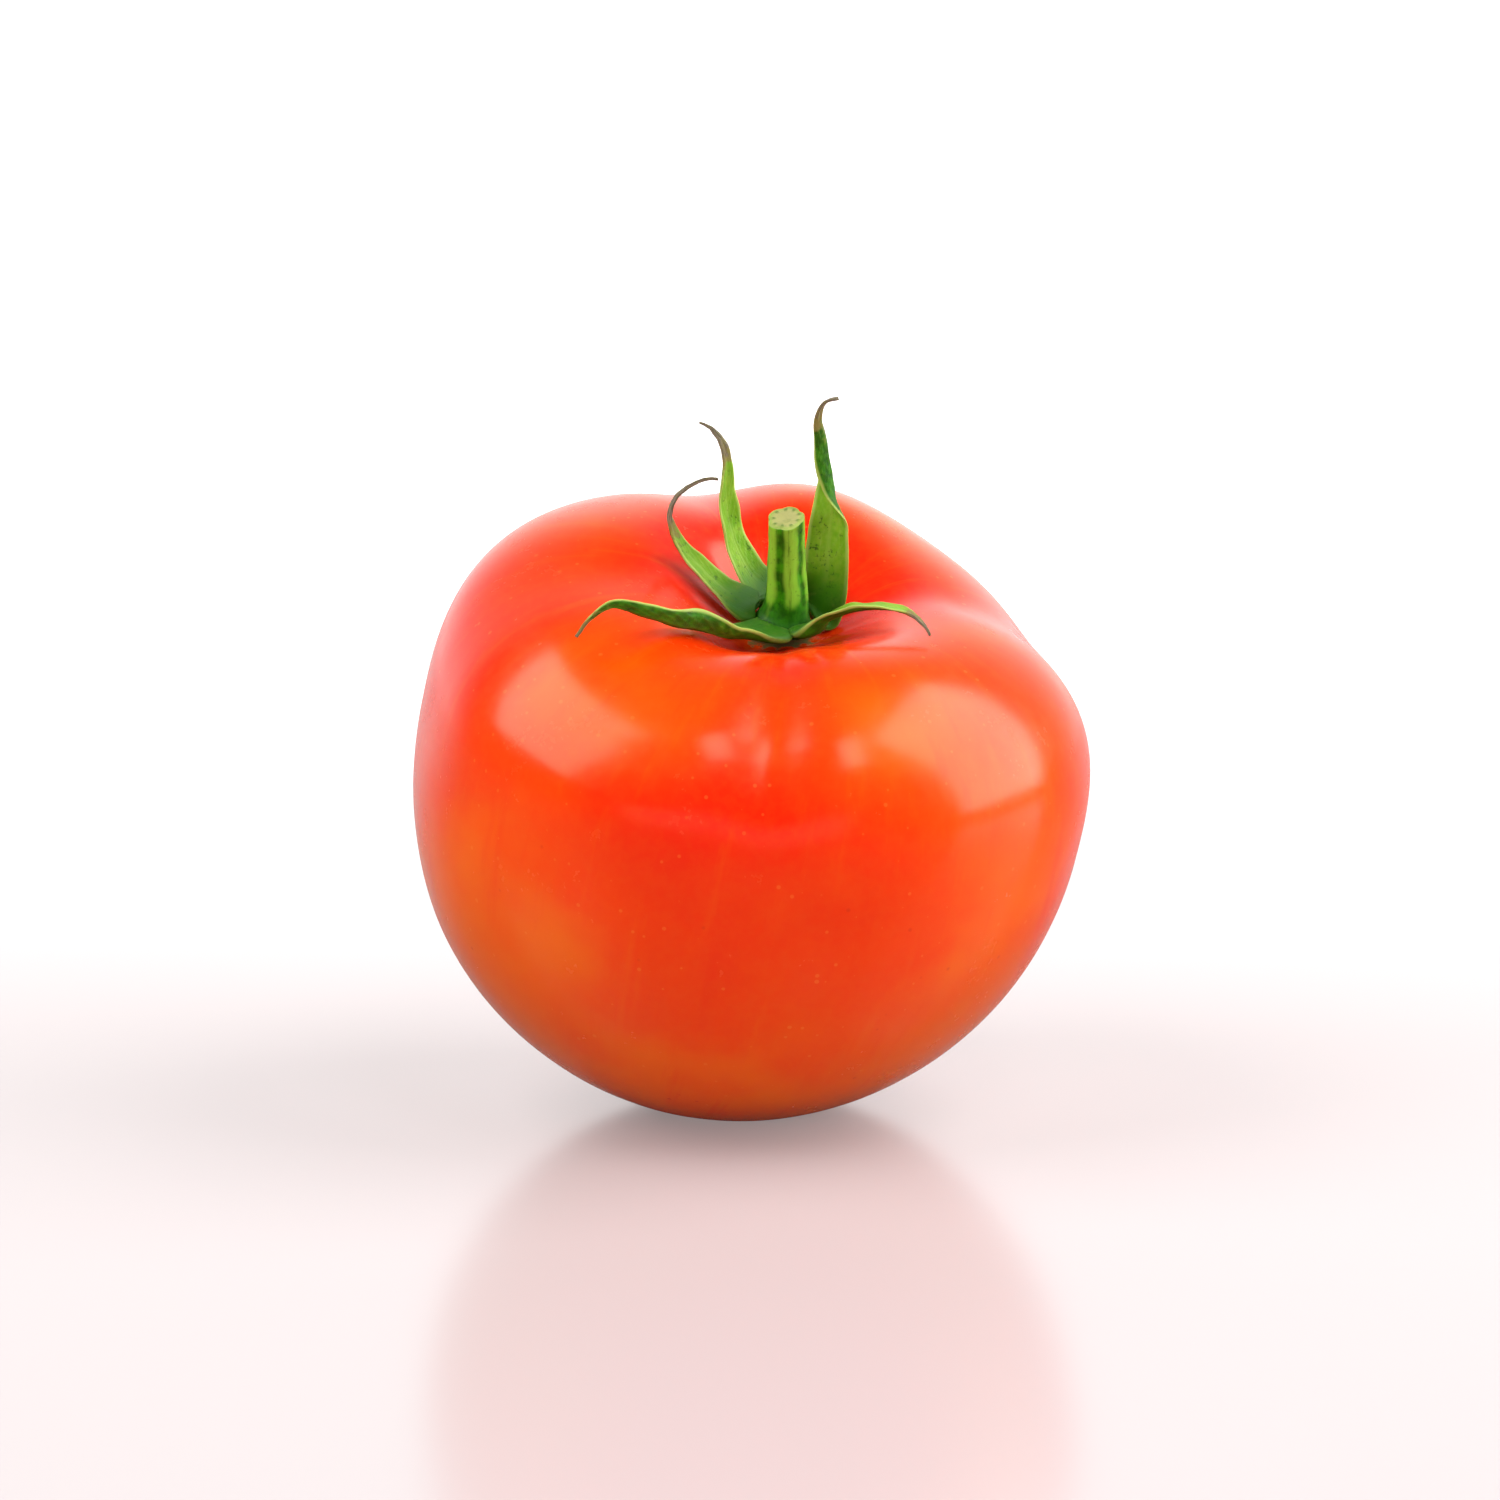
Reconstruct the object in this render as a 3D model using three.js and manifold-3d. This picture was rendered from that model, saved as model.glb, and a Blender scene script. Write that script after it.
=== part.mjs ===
// A ripe table tomato as picked: the fruit, its cut stem with the receptacle at
// its foot, and the five sepals of the calyx. Millimetres, +Z up, front to -Y.
// The fruit leans forward and to the right, as a round fruit settles, and rests
// on a small flat whose centre is the origin.
import * as THREE from 'three';
import { mergeVertices } from 'three/addons/utils/BufferGeometryUtils.js';
import Module from 'manifold-3d';

const wasm = await Module();
wasm.setup();

// ---------------------------------------------------------------- the sizes
// The fruit has a frame of its own: origin on its widest line, +Z to the stem.
const FRUIT_RADIUS = 40;
const BLOSSOM_DEPTH = 41.5;
const SHOULDER_HEIGHT = 27;
const SHOULDER_FULLNESS = 3;
const CAVITY_DEPTH = 9.5;
const CAVITY_RADIUS = 12.5;
const REST_DEPTH = 0.8;

// How the fruit lies, in degrees.
const LEAN_FORWARD = 16;
const LEAN_RIGHT = 12;

// Furrows run from the cavity down the sides, between the lobes. Angles are in
// degrees about the fruit's axis, 0 to the right and 270 to the front; depths
// and swells are shares of the radius, and a width is where a bell falls to 1/e.
const FURROWS = [
  { azimuth: 271, depth: 0.035, width: 11 },
  { azimuth: 274, depth: 0.035, width: 28 },
  { azimuth: 20, depth: 0.055, width: 20 },
  { azimuth: 112, depth: 0.055, width: 18 },
  { azimuth: 192, depth: 0.068, width: 23 },
];
const LOBES = [
  { azimuth: 232, swell: -0.005, width: 36 },
  { azimuth: 325, swell: 0.025, width: 40 },
  { azimuth: 41, swell: -0.008, width: 24 },
  { azimuth: 88, swell: 0.08, width: 26 },
  { azimuth: 150, swell: 0.005, width: 34 },
];
// Along the way from the blossom end (0) to the stem end (1), where lobes and
// furrows begin, where they are full, and how far before the end they fade.
const RELIEF_BEGINS = 0.22;
const RELIEF_FULL = 0.74;
const RELIEF_FADES = 0.14;

// The front left lobe has a lower crown than the others, from the shoulder in to
// a circle round the stem.
const LOW_CROWN = { azimuth: 238, drop: 3.2, width: 34, shoulder: 0.7, circle: 12 };

// Pieces that touch on the plant are drawn this far apart.
const CLEARANCE = 0.3;

// The calyx stands this far to the right of the fruit's axis.
const CALYX_OFFSET = 0.4;

// The stem stub, from its foot in the cavity to the cut.
// The route is of [to the right, to the back, share of the height] after the foot.
const STEM_RADIUS = 2.1;
const STEM_HEIGHT = 15.8;
const STEM_FOOT_RADIUS = 1.3;
const STEM_ROUTE = [
  [0.2, -0.2, 0.3],
  [-0.9, -1, 0.65],
  [-2, -2, 1],
];
const STEM_RIBS = 5;
const STEM_RIB_DEPTH = 0.12;
const STEM_RIBS_BEGIN = 0.25;
const STEM_RIBS_FULL = 0.4;
const STEM_CUT_SLOPE = 12;
const STEM_CUT_BEGINS = 0.75;
const RECEPTACLE_RADIUS = 3.6;

// The sepals. The foot is fleshy and as wide as its share of the receptacle, in
// degrees; both run out into the thin blade over the foot's share of the length.
const SEPAL_THICKNESS = 0.7;
const SEPAL_TIP_THINNING = 0.4;
const SEPAL_TIP_WIDTH = 0.7;
const SEPAL_FOOT_THICKNESS = 1.8;
const SEPAL_FOOT_HEIGHT = 2.1;
const SEPAL_FOOT_SPREAD = 62;
const SEPAL_FOOT_SHARE = 0.23;

// A rolled blade keeps a radius of at least this many half thicknesses.
const TIGHTEST_ROLL = 3;
const FLATTEST_ROLL = 0.01;

// A route is where the middle of a sepal runs after its foot on the receptacle,
// as points of [to the right of the foot, to the back of the foot, height over
// the skin below]. Taper is how late the blade narrows (higher is later).
// Curl is how far the half blade is rolled up, and twist how far the blade is
// turned about its own middle, in degrees, at even steps from foot to tip.
const SEPALS = [
  {
    name: 'sepal_front_left',
    azimuth: 252,
    width: 5.2,
    taper: 2.2,
    route: [
      [-2.7, -3, 2],
      [-5.3, -6.1, 1.6],
      [-8.4, -9.3, 1.5],
      [-11.3, -11.7, 2],
      [-14.7, -14, 3.6],
      [-18.3, -15.3, 5.2],
      [-20.6, -15.8, 4.2],
      [-21.8, -15.9, 2],
    ],
    curl: [20, 45, 60, 45, 20],
    twist: [10, 15, 30, 20, 0],
  },
  {
    name: 'sepal_front_right',
    azimuth: 318,
    width: 4.6,
    taper: 1.5,
    route: [
      [1.9, -1.3, 3.4],
      [4.2, -2.1, 3.9],
      [6.8, -2.9, 3.6],
      [9.3, -4.1, 3],
      [11.2, -5.4, 2.3],
      [12.6, -6.9, 1.6],
      [13.3, -8.1, 1],
    ],
    curl: [15, 30, 30, 25, 10],
    twist: [-10, -20, -25, -20, 0],
  },
  {
    name: 'sepal_right_upright',
    azimuth: 40,
    width: 5.7,
    taper: 2.4,
    route: [
      [0.9, 0.5, 3.6],
      [0.9, 0.4, 6.4],
      [0.5, 0.2, 9.6],
      [0.1, 0, 12.8],
      [-0.5, -0.6, 17],
      [-1.9, -1.5, 21.4],
      [-3.5, -2.4, 25.2],
      [-4.6, -3.1, 28.2],
      [-4.4, -3.3, 30.2],
      [-2.9, -3.3, 31],
    ],
    curl: [25, 30, 40, 100, 110, 60],
    twist: [-30, -48, -45, 0, 20, 20],
  },
  {
    name: 'sepal_back_left',
    azimuth: 118,
    width: 4.8,
    taper: 1.6,
    route: [
      [-2.9, 1.1, 3.1],
      [-5.4, 1.7, 4.7],
      [-6.8, 2.1, 6.7],
      [-7.7, 2.3, 9.4],
      [-8.5, 2, 13.2],
      [-9.5, 2, 14.9],
      [-11, 2.3, 15.5],
      [-12.5, 3, 15],
    ],
    curl: [20, 40, 45, 50, 20],
    twist: [0, 0, 0, 0, 0],
  },
  {
    name: 'sepal_left_curled',
    azimuth: 181,
    width: 4.6,
    taper: 0.9,
    route: [
      [-3.4, 0.5, 1.9],
      [-6.5, 1.1, 1.8],
      [-9, 1.5, 2.2],
      [-10.5, 1.5, 3.3],
      [-11.6, 1.4, 5.2],
      [-11.4, 1.2, 8],
      [-10.1, 0.8, 10.4],
      [-8.2, 0.3, 12.8],
      [-7.2, -0.1, 13.7],
    ],
    curl: [20, 40, 50, 30, 0],
    twist: [20, 30, 20, 0, 0],
  },
];

// How finely each shape is faceted.
const FRUIT_SEGMENTS = 64;
const FRUIT_RINGS = 40;
const STEM_SEGMENTS = 20;
const STEM_RINGS = 24;
const SEPAL_SEGMENTS = 10;
const SEPAL_RINGS = 22;

// ---------------------------------------------------------------- materials
const skin = () => new THREE.MeshStandardMaterial({ color: 0xe8320c, roughness: 0.22, metalness: 0 });
const stalk = () => new THREE.MeshStandardMaterial({ color: 0x5d8c1c, roughness: 0.6, metalness: 0 });
const leaf = () => new THREE.MeshStandardMaterial({ color: 0x4f8426, roughness: 0.65, metalness: 0 });

// ---------------------------------------------------------------- helpers
function smooth(value, from, to) {
  const t = THREE.MathUtils.clamp((value - from) / (to - from), 0, 1);
  return t * t * (3 - 2 * t);
}

// A bell of height 1 about one azimuth, both in degrees.
function bell(azimuth, centre, width) {
  const away = THREE.MathUtils.euclideanModulo(azimuth - centre + 180, 360) - 180;
  return Math.exp(-((away / width) ** 2));
}

// A value from a short list at even steps of u from 0 to 1.
function along(values, u) {
  const place = u * (values.length - 1);
  const low = Math.min(Math.floor(place), values.length - 2);
  return THREE.MathUtils.lerp(values[low], values[low + 1], smooth(place - low, 0, 1));
}

// A value from a list of [share, value] at rising shares.
function between(pairs, u) {
  const next = Math.max(pairs.findIndex(([share]) => share >= u), 1);
  const [[from, low], [to, high]] = [pairs[next - 1], pairs[next]];
  return THREE.MathUtils.lerp(low, high, smooth(u, from, to));
}

// Shared corners become one vertex, so that the mesh is a closed body.
function weld(geometry) {
  geometry.deleteAttribute('normal');
  geometry.deleteAttribute('uv');
  return mergeVertices(geometry);
}

function toSolid(geometry) {
  const welded = weld(geometry);
  return new wasm.Manifold(new wasm.Mesh({
    numProp: 3,
    vertProperties: new Float32Array(welded.attributes.position.array),
    triVerts: new Uint32Array(welded.index.array),
  }));
}

function toGeometry(solid) {
  const mesh = solid.getMesh();
  const geometry = new THREE.BufferGeometry();
  geometry.setAttribute('position', new THREE.BufferAttribute(mesh.vertProperties, 3));
  geometry.setIndex(new THREE.BufferAttribute(mesh.triVerts, 1));
  return geometry;
}

// ---------------------------------------------------------------- the fruit
// Where the skin is, at an angle t from the blossom end (0) over the widest
// line (pi/2) to the stem end (pi), and an azimuth in degrees.
function skinPoint(t, azimuth) {
  const upper = t > Math.PI / 2;
  const power = upper ? 2 / SHOULDER_FULLNESS : 1;
  const round = FRUIT_RADIUS * Math.abs(Math.sin(t)) ** power;
  const rise = (upper ? SHOULDER_HEIGHT : -BLOSSOM_DEPTH) * Math.abs(Math.cos(t)) ** power;
  const cavity = upper ? CAVITY_DEPTH * Math.exp(-((round / CAVITY_RADIUS) ** 2)) : 0;
  const way = t / Math.PI;
  const drop = LOW_CROWN.drop * bell(azimuth, LOW_CROWN.azimuth, LOW_CROWN.width)
    * smooth(way, 0.5, LOW_CROWN.shoulder) * smooth(round, 0, LOW_CROWN.circle);
  let relief = 0;
  for (const lobe of LOBES) {
    relief += lobe.swell * bell(azimuth, lobe.azimuth, lobe.width);
  }
  for (const furrow of FURROWS) {
    relief -= furrow.depth * bell(azimuth, furrow.azimuth, furrow.width);
  }
  const full = smooth(way, RELIEF_BEGINS, RELIEF_FULL) * smooth(1 - way, 0, RELIEF_FADES);
  const swollen = 1 + full * relief;
  const angle = THREE.MathUtils.degToRad(azimuth);
  return new THREE.Vector3(
    round * swollen * Math.cos(angle),
    round * swollen * Math.sin(angle),
    (rise - cavity - drop) * swollen,
  );
}

// How high the upper skin is over or under one point across the fruit.
function skinHeight(x, y) {
  const azimuth = THREE.MathUtils.radToDeg(Math.atan2(y, x));
  const distance = Math.hypot(x, y);
  let outer = Math.PI / 2;
  let inner = Math.PI;
  for (let step = 0; step < 40; step += 1) {
    const middle = (outer + inner) / 2;
    const point = skinPoint(middle, azimuth);
    if (Math.hypot(point.x, point.y) > distance) {
      outer = middle;
    } else {
      inner = middle;
    }
  }
  return skinPoint((outer + inner) / 2, azimuth).z;
}

// The way the fruit lies: its frame turned, and lifted so that the flat is at
// z = 0 with its centre at the origin. The blossom end is an ellipsoid, so its
// lowest point is known exactly.
function restingFrame() {
  const turn = new THREE.Matrix4().makeRotationFromEuler(new THREE.Euler(
    THREE.MathUtils.degToRad(LEAN_FORWARD),
    THREE.MathUtils.degToRad(LEAN_RIGHT),
    0,
    'YXZ',
  ));
  const down = new THREE.Vector3(0, 0, -1).transformDirection(turn.clone().transpose());
  const reach = Math.hypot(
    FRUIT_RADIUS * down.x,
    FRUIT_RADIUS * down.y,
    BLOSSOM_DEPTH * down.z,
  );
  const lowest = new THREE.Vector3(
    FRUIT_RADIUS ** 2 * down.x,
    FRUIT_RADIUS ** 2 * down.y,
    BLOSSOM_DEPTH ** 2 * down.z,
  ).divideScalar(reach).applyMatrix4(turn);
  return turn.setPosition(-lowest.x, -lowest.y, reach - REST_DEPTH);
}

// A sphere's vertices are moved to the skin, the rings gathered towards the stem
// end where the cavity needs them, and the underside is cut flat.
function fruitGeometry(frame) {
  const ball = new THREE.SphereGeometry(1, FRUIT_SEGMENTS, FRUIT_RINGS).rotateX(Math.PI / 2);
  const points = ball.attributes.position;
  const vertex = new THREE.Vector3();
  for (let i = 0; i < points.count; i += 1) {
    vertex.fromBufferAttribute(points, i);
    const even = Math.acos(THREE.MathUtils.clamp(-vertex.z, -1, 1)) / Math.PI;
    const t = even < 0.5 ? Math.PI * even : Math.PI - (Math.PI / 2) * (2 - 2 * even) ** 1.5;
    const azimuth = THREE.MathUtils.radToDeg(Math.atan2(vertex.y, vertex.x));
    points.setXYZ(i, ...skinPoint(t, azimuth).applyMatrix4(frame));
  }
  const below = new THREE.BoxGeometry(4 * FRUIT_RADIUS, 4 * FRUIT_RADIUS, FRUIT_RADIUS);
  below.translate(0, 0, -FRUIT_RADIUS / 2);
  return toGeometry(toSolid(ball).subtract(toSolid(below)));
}

// ---------------------------------------------------------------- swept pieces
// A closed bar along a path. The section gets the share of the length u and a
// point (a, b) of the unit disc, and gives [to the side, to the face, ahead].
function sweep(path, segments, rings, section) {
  const bar = new THREE.CylinderGeometry(1, 1, 1, segments, rings);
  const frames = [];
  let side = new THREE.Vector3().crossVectors(path.getTangentAt(0), new THREE.Vector3(0, 0, 1));
  for (let i = 0; i <= rings; i += 1) {
    const ahead = path.getTangentAt(i / rings).normalize();
    side = side.clone().addScaledVector(ahead, -side.dot(ahead)).normalize();
    const face = new THREE.Vector3().crossVectors(side, ahead);
    frames.push({ point: path.getPointAt(i / rings), side, face, ahead });
  }
  const points = bar.attributes.position;
  for (let i = 0; i < points.count; i += 1) {
    const ring = Math.round((points.getY(i) + 0.5) * rings);
    const { point, side: across, face, ahead } = frames[ring];
    const [s, f, a] = section(ring / rings, points.getX(i), points.getZ(i));
    const moved = point.clone().addScaledVector(across, s).addScaledVector(face, f);
    points.setXYZ(i, ...moved.addScaledVector(ahead, a));
  }
  return weld(bar);
}

// ---------------------------------------------------------------- the stem
// The foot stands in the cavity, swells into the receptacle the sepals grow
// from, and narrows into a ribbed stub that leans back against the fruit's lean.
function stemGeometry() {
  const floor = skinHeight(0, 0);
  const foot = 2 * CLEARANCE;
  const path = new THREE.CatmullRomCurve3([
    new THREE.Vector3(CALYX_OFFSET, 0, floor + foot),
    ...STEM_ROUTE.map(([x, y, share]) => new THREE.Vector3(x, y, floor + share * STEM_HEIGHT)),
  ]);
  const outline = [
    [0, STEM_FOOT_RADIUS],
    [0.09, RECEPTACLE_RADIUS],
    [0.14, RECEPTACLE_RADIUS],
    [0.32, 1.15 * STEM_RADIUS],
    [0.8, STEM_RADIUS],
    [1, STEM_RADIUS],
  ];
  const slope = Math.tan(THREE.MathUtils.degToRad(STEM_CUT_SLOPE));
  return sweep(path, STEM_SEGMENTS, STEM_RINGS, (u, a, b) => {
    const groove = 0.5 + 0.5 * Math.cos(STEM_RIBS * Math.atan2(b, a));
    const ribs = STEM_RIB_DEPTH * groove * smooth(u, STEM_RIBS_BEGIN, STEM_RIBS_FULL);
    const radius = between(outline, u) - ribs;
    return [a * radius, b * radius, slope * b * radius * smooth(u, STEM_CUT_BEGINS, 1)];
  });
}

// ---------------------------------------------------------------- the sepals
// A blade that leaves the receptacle outwards, thins past its fleshy foot and
// narrows to a point, rolled up across its width and turned about its middle.
function sepalGeometry(sepal) {
  const footRadius = RECEPTACLE_RADIUS + CLEARANCE;
  const angle = THREE.MathUtils.degToRad(sepal.azimuth);
  const footX = CALYX_OFFSET + footRadius * Math.cos(angle);
  const footY = footRadius * Math.sin(angle);
  const heel = SEPAL_FOOT_THICKNESS / 2;
  const start = [
    [0, 0, SEPAL_FOOT_HEIGHT],
    [heel * Math.cos(angle), heel * Math.sin(angle), SEPAL_FOOT_HEIGHT],
  ];
  const path = new THREE.CatmullRomCurve3([...start, ...sepal.route].map(([right, back, height]) => {
    const x = footX + right;
    const y = footY + back;
    return new THREE.Vector3(x, y, skinHeight(x, y) + height);
  }));
  const spread = THREE.MathUtils.degToRad(SEPAL_FOOT_SPREAD);
  const footWidth = 2 * footRadius * Math.sin(spread / 2) - CLEARANCE;
  return sweep(path, SEPAL_SEGMENTS, SEPAL_RINGS, (u, a, b) => {
    const pastFoot = smooth(u, 0, SEPAL_FOOT_SHARE);
    const blade = THREE.MathUtils.lerp(footWidth, sepal.width, pastFoot);
    const half = Math.max(blade * (1 - u ** sepal.taper), SEPAL_TIP_WIDTH) / 2;
    const thin = SEPAL_THICKNESS * (1 - SEPAL_TIP_THINNING * u);
    const thick = THREE.MathUtils.lerp(SEPAL_FOOT_THICKNESS, thin, pastFoot) / 2;
    const curl = THREE.MathUtils.degToRad(along(sepal.curl, u));
    const roll = THREE.MathUtils.clamp(curl, FLATTEST_ROLL, half / (TIGHTEST_ROLL * thick));
    const bend = half / roll - thick * b;
    const across = bend * Math.sin(roll * a);
    const face = half / roll - bend * Math.cos(roll * a);
    const twist = THREE.MathUtils.degToRad(along(sepal.twist, u));
    return [
      across * Math.cos(twist) - face * Math.sin(twist),
      across * Math.sin(twist) + face * Math.cos(twist),
      0,
    ];
  });
}

// ---------------------------------------------------------------- the tomato
function named(name, geometry, material) {
  const mesh = new THREE.Mesh(geometry, material);
  mesh.name = name;
  return mesh;
}

const frame = restingFrame();
const tomato = new THREE.Group();
tomato.name = 'tomato';
tomato.add(named('fruit', fruitGeometry(frame), skin()));

const calyx = new THREE.Group();
calyx.name = 'calyx';
calyx.position.setFromMatrixPosition(frame);
calyx.quaternion.setFromRotationMatrix(frame);
calyx.add(named('stem', stemGeometry(), stalk()));
for (const sepal of SEPALS) {
  calyx.add(named(sepal.name, sepalGeometry(sepal), leaf()));
}
tomato.add(calyx);

export default tomato;
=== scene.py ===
import math

import bpy
import numpy as np
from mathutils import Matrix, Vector, noise


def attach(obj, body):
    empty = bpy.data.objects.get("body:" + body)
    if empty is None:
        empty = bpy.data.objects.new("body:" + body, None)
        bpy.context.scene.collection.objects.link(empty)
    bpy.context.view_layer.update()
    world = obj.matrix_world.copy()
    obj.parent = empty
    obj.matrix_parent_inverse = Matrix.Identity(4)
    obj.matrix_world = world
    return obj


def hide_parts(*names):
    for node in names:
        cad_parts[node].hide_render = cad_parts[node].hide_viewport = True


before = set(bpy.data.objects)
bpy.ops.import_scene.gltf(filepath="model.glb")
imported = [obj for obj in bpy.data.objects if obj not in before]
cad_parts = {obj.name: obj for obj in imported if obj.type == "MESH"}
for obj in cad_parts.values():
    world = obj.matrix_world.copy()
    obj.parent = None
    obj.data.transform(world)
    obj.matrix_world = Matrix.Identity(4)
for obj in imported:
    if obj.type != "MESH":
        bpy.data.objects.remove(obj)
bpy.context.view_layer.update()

# ---------------------------------------------------------------- camera
# A long lens a little above the fruit, looking down its front at ten degrees,
# half a metre away, with the calyx in the upper half of the frame.
MM = 0.001
CAMERA_AIM = Vector((1.156, -0.767, 37.0)) * MM
CAMERA_DOWN = math.radians(10)
CAMERA_AWAY = 491.7 * MM
CAMERA_ASIDE = -0.118 * MM
CAMERA_RISE = 5.9 * MM
LENS_LENGTH = 100
FILM_WIDTH = 36
NEAREST, FARTHEST = 0.01, 50

back = Vector((0, -math.cos(CAMERA_DOWN), math.sin(CAMERA_DOWN)))
up = Vector((0, math.sin(CAMERA_DOWN), math.cos(CAMERA_DOWN)))
lens = bpy.data.cameras.new("camera")
lens.lens = LENS_LENGTH
lens.sensor_width = FILM_WIDTH
lens.clip_start, lens.clip_end = NEAREST, FARTHEST
camera = bpy.data.objects.new("camera", lens)
camera.location = CAMERA_AIM + back * CAMERA_AWAY + up * CAMERA_RISE + Vector((CAMERA_ASIDE, 0, 0))
camera.rotation_euler = (math.pi / 2 - CAMERA_DOWN, 0, 0)
bpy.context.scene.collection.objects.link(camera)
bpy.context.scene.camera = camera
bpy.context.scene.view_settings.view_transform = "Standard"

# ---------------------------------------------------------------- fruit
# The ripe tomato: thin waxy skin drawn tight over watery flesh, with furrows
# between its lobes. It grew hanging from the stem end, where the skin is corky,
# and keeps the small dry scar of the flower at the other end.
FRUIT_RADIUS = 40.0
BLOSSOM_DEPTH = 41.5
SHOULDER_HEIGHT = 27.0
SHOULDER_FULLNESS = 3.0
CAVITY_DEPTH = 9.5
CAVITY_RADIUS = 12.5
REST_DEPTH = 0.8
LEAN_FORWARD = math.radians(16)
LEAN_RIGHT = math.radians(12)
# Each furrow and lobe: azimuth, share of the radius, width (degrees, 270 is the front).
FURROWS = [(271, 0.035, 11), (274, 0.035, 28), (20, 0.055, 20), (112, 0.055, 18), (192, 0.068, 23)]
LOBES = [(232, -0.005, 36), (325, 0.025, 40), (41, -0.008, 24), (88, 0.08, 26), (150, 0.005, 34)]
LOW_CROWN_AZIMUTH, LOW_CROWN_DROP, LOW_CROWN_WIDTH = 238, 3.2, 34
FRUIT_RINGS = 260
FRUIT_COLUMNS = 320
CORK_RADIUS = 4.1
CORK_RISE = 0.25
CREASE_AZIMUTH, CREASE_DEPTH, CREASE_WIDTH = 272.5, 0.011, 6
# Soft unevenness: share of the radius, and its size in millimetres.
SWELL, SWELL_SIZE = 0.005, 24
DIMPLE, DIMPLE_SIZE = 0.0012, 8
ELSEWHERE = 300
# The two front sides, marked for the painted side light and spared the shoulder's orange.
FRONT_SIDES, FRONT_SIDE_WIDTH = (222, 322), 34
DEEPEST_FURROW = 0.07
FAR = 100
FOLD_DEPTH = 0.16
FOLD_COUNT = 13
FOLD_RADIUS, FOLD_REACH = 8, 4
SCAR_RADIUS = 1.5
SCAR_DEPTH = 0.35


def smooth(value, low, high):
    share = np.clip((value - low) / (high - low), 0, 1)
    return share * share * (3 - 2 * share)


def bell(azimuth, centre, width):
    away = (azimuth - centre + 180) % 360 - 180
    return np.exp(-((away / width) ** 2))


def skin_point(t, azimuth):
    """Where the skin is in the fruit's own frame, in millimetres, with +Z to the stem end."""
    upper = t > math.pi / 2
    power = np.where(upper, 2 / SHOULDER_FULLNESS, 1)
    out = FRUIT_RADIUS * np.abs(np.sin(t)) ** power
    rise = np.where(upper, SHOULDER_HEIGHT, -BLOSSOM_DEPTH) * np.abs(np.cos(t)) ** power
    cavity = np.where(upper, CAVITY_DEPTH * np.exp(-((out / CAVITY_RADIUS) ** 2)), 0)
    way = t / math.pi
    drop = LOW_CROWN_DROP * bell(azimuth, LOW_CROWN_AZIMUTH, LOW_CROWN_WIDTH)
    drop = drop * smooth(way, 0.5, 0.7) * smooth(out, 0, 12)
    relief = sum(swell * bell(azimuth, centre, width) for centre, swell, width in LOBES)
    relief = relief - sum(depth * bell(azimuth, centre, width) for centre, depth, width in FURROWS)
    swollen = 1 + smooth(way, 0.22, 0.74) * smooth(1 - way, 0, 0.14) * relief
    angle = np.radians(azimuth)
    return np.stack([out * swollen * np.cos(angle), out * swollen * np.sin(angle),
                     (rise - cavity - drop) * swollen], -1)


def skin_height(x, y):
    """How high the upper skin is under or over one point across the fruit."""
    azimuth, distance = math.degrees(math.atan2(y, x)), math.hypot(x, y)
    outer, inner = math.pi / 2, math.pi
    for _ in range(40):
        middle = (outer + inner) / 2
        point = skin_point(middle, azimuth)
        outer, inner = (middle, inner) if math.hypot(point[0], point[1]) > distance else (outer, middle)
    return float(skin_point((outer + inner) / 2, azimuth)[2])


def resting_place():
    """The turn of the fruit as it lies, and the lift that puts the flat it rests on at the floor."""
    cf, sf = math.cos(LEAN_FORWARD), math.sin(LEAN_FORWARD)
    cr, sr = math.cos(LEAN_RIGHT), math.sin(LEAN_RIGHT)
    forward = np.array([[1, 0, 0], [0, cf, -sf], [0, sf, cf]])
    to_right = np.array([[cr, 0, sr], [0, 1, 0], [-sr, 0, cr]])
    turn = to_right @ forward
    half_sizes = np.array([FRUIT_RADIUS, FRUIT_RADIUS, BLOSSOM_DEPTH])
    down = -turn[2]
    reach = np.linalg.norm(half_sizes * down)
    lowest = turn @ (half_sizes ** 2 * down / reach)
    return turn, np.array([-lowest[0], -lowest[1], reach - REST_DEPTH])


TURN, LIFT = resting_place()


def on_floor(points):
    """Points of the fruit's own frame as they lie on the floor, in millimetres."""
    return points @ TURN.T + LIFT


def roughly(points, size):
    """Smooth random values from -1 to 1, that change over the given size in millimetres."""
    return np.array([noise.noise(Vector(p)) for p in np.asarray(points).reshape(-1, 3) / size])


def make_piece(name, points, faces, marks, material):
    """A mesh in the row frame from millimetres, with its marks kept for the material to read."""
    mesh = bpy.data.meshes.new(name)
    mesh.from_pydata((points * MM).tolist(), [], faces)
    for key, values in marks.items():
        values = np.asarray(values, np.float32)
        kind, field = ("FLOAT", "value") if values.ndim == 1 else ("FLOAT_VECTOR", "vector")
        mesh.attributes.new(key, kind, "POINT").data.foreach_set(field, values.ravel())
    mesh.polygons.foreach_set("use_smooth", [True] * len(mesh.polygons))
    mesh.materials.append(material)
    piece = bpy.data.objects.new(name, mesh)
    bpy.context.scene.collection.objects.link(piece)
    return piece


def stand_in(piece, node):
    """The piece takes the place of one node of the frame, whose own part is hidden."""
    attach(piece, "root")
    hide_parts(node)


def new_material(name):
    """A material with its node tree and its main shader."""
    material = bpy.data.materials.new(name)
    material.use_nodes = True
    return material, material.node_tree, material.node_tree.nodes["Principled BSDF"]


def add(tree, kind, inputs=None, **settings):
    """A node with its settings, whose inputs are numbers, colours or other nodes' outputs."""
    made = tree.nodes.new(kind)
    for key, value in settings.items():
        setattr(made, key, value)
    for key, value in (inputs or {}).items():
        if isinstance(value, bpy.types.NodeSocket):
            tree.links.new(value, made.inputs[key])
        else:
            made.inputs[key].default_value = value
    return made


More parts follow.
